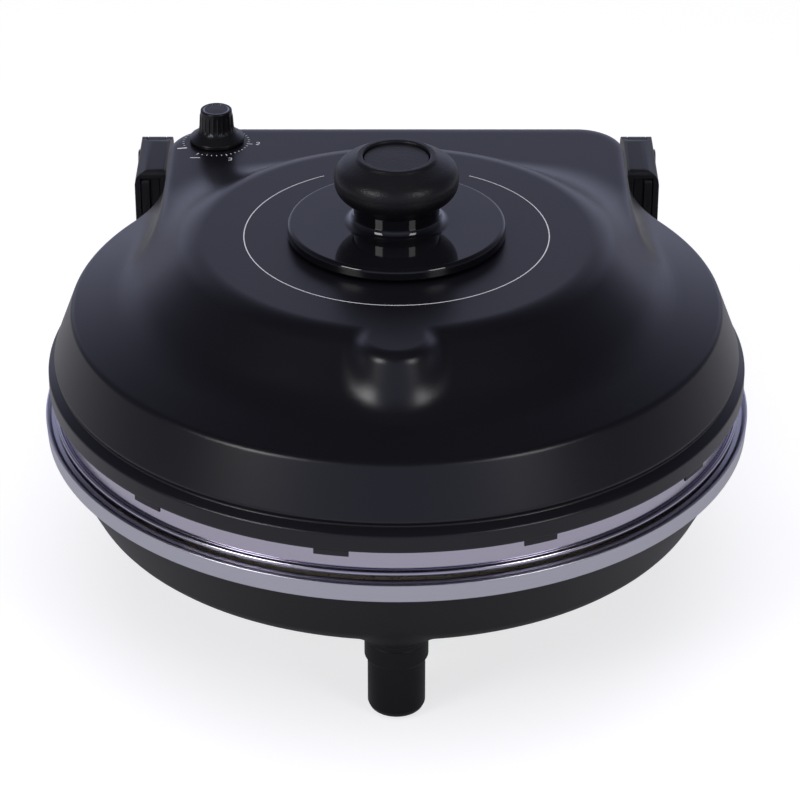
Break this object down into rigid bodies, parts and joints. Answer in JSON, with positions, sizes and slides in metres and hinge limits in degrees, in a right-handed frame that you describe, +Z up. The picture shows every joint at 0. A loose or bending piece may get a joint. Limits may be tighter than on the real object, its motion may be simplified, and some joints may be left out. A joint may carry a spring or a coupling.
{
  "type": "electric pizza maker",
  "caption": "Round countertop pizza maker: stone over a heated bowl on three legs, domed lid with nose, dial and knob handle, hinged on two rear arms.",
  "frame": {"origin": "bottom centre of the whole object's box, on the table", "axes": "+Z up, -Y to the front where the nose and the single foot are, +X to the right seen from the front"},
  "size_m": [0.3518, 0.3718, 0.2294],
  "materials": {
    "lid_paint": "satin bluish-black paint",
    "bowl_paint": "satin bluish-black paint",
    "rim_steel": "bright rolled steel",
    "liner_steel": "bright pressed steel",
    "reflector_steel": "dull plated sheet",
    "element": "oxidised tube",
    "bracket_steel": "zinc plated",
    "stone": "unglazed",
    "foot_plastic": "semi gloss",
    "housing_plastic": "fine grain",
    "pad_rubber": "matt",
    "fixing_steel": "plated",
    "tab_paint": "satin",
    "terminal_plastic": "moulded",
    "lead": "sleeving",
    "handle_gloss": "high gloss",
    "handle_grain": "fine grain",
    "dial_plastic": "satin",
    "bulb_copper": "drawn"
  },
  "bodies": {
    "base": {"base_bowl": "bowl_paint", "rim_ring": "rim_steel", "base_reflector": "reflector_steel", "lower_heating_element": "element", "lower_element_clips": "bracket_steel", "stone_supports": "bracket_steel", "pizza_stone": "stone", "front_foot": "foot_plastic", "front_foot_pad": "pad_rubber", "front_foot_screw": "fixing_steel", "rear_housing": "housing_plastic", "housing_floor": "housing_plastic", "housing_screws": "fixing_steel", "hinge_post_left": "housing_plastic", "hinge_post_right": "housing_plastic", "post_screws": "fixing_steel", "rear_foot_pads": "pad_rubber", "hinge_pin_left": "fixing_steel", "hinge_pin_right": "fixing_steel", "cord_gland": "pad_rubber", "terminal_block": "terminal_plastic", "base_wiring": "lead"},
    "lid": {"lid_shell": "lid_paint", "lid_liner": "liner_steel", "liner_tabs": "tab_paint", "upper_heating_element": "element", "upper_element_clips": "bracket_steel", "lid_arm_left": "housing_plastic", "lid_arm_right": "housing_plastic", "lid_arm_screws": "fixing_steel", "lid_rear_cover": "housing_plastic", "rear_cover_screws": "fixing_steel", "handle_spacer": "handle_gloss", "handle_base": "handle_gloss", "handle_head": "handle_grain", "handle_cap": "handle_grain", "handle_bolt": "fixing_steel", "handle_washer": "fixing_steel", "handle_nut": "fixing_steel", "thermostat_body": "terminal_plastic", "thermostat_nut": "fixing_steel", "thermostat_bulb": "bulb_copper", "bulb_clips": "bracket_steel", "lid_wiring": "lead"},
    "dial": {"thermostat_knob": "dial_plastic", "knob_cap": "dial_plastic", "thermostat_shaft": "fixing_steel"}
  },
  "joints": [
    {"name": "lid_hinge", "type": "hinge", "parent": "base", "child": "lid", "pos_m": [0, 0.17395, 0.14], "axis": [-1, 0, 0], "range_deg": [0, 100]},
    {"name": "dial_turn", "type": "hinge", "parent": "lid", "child": "dial", "pos_m": [-0.0948, 0.12285, 0.176], "axis": [0, 0, 1], "range_deg": [-15, 312]}
  ]
}
